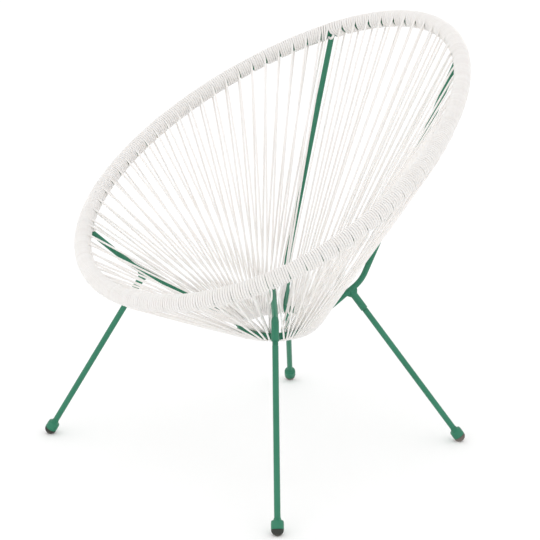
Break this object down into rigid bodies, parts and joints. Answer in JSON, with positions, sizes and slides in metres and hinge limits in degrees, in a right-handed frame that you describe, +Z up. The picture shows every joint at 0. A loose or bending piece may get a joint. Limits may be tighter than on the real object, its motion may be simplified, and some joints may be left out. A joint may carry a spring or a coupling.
{
  "type": "acapulco chair",
  "caption": "Low patio lounge chair with a round cord-strung bucket seat on a steel rod frame with screw-in legs and domed rubber feet.",
  "frame": {"origin": "on the floor, under the middle of the chair's overall width and depth", "axes": "+Z up, -Y towards the chair's front, +X towards the right as seen from the front; X = 0 is the chair's middle plane"},
  "size_m": [0.7613, 0.8322, 0.86],
  "materials": {
    "frame_green": "satin powder coat",
    "cord_white": "satin vinyl",
    "foot_rubber": "matte"
  },
  "bodies": {
    "root": {"rim_tube": "frame_green", "rim_wrap_front": "cord_white", "rim_wrap_right": "cord_white", "rim_wrap_back": "cord_white", "rim_wrap_left": "cord_white", "seat_cord_front_left": "cord_white", "seat_cord_front_right": "cord_white", "seat_cord_right_front": "cord_white", "seat_cord_right_back": "cord_white", "seat_cord_back_right": "cord_white", "seat_cord_back_left": "cord_white", "seat_cord_left_back": "cord_white", "seat_cord_left_front": "cord_white", "base_ring": "frame_green", "strut_front_right": "frame_green", "strut_front_left": "frame_green", "strut_back_right": "frame_green", "strut_back_left": "frame_green", "leg_socket_front_right": "frame_green", "leg_socket_front_left": "frame_green", "leg_socket_back_right": "frame_green", "leg_socket_back_left": "frame_green", "leg_front_right": "frame_green", "leg_front_left": "frame_green", "leg_back_right": "frame_green", "leg_back_left": "frame_green", "foot_cup_front_right": "frame_green", "foot_cup_front_left": "frame_green", "foot_cup_back_right": "frame_green", "foot_cup_back_left": "frame_green", "foot_pad_front_right": "foot_rubber", "foot_pad_front_left": "foot_rubber", "foot_pad_back_right": "foot_rubber", "foot_pad_back_left": "foot_rubber"}
  },
  "joints": []
}
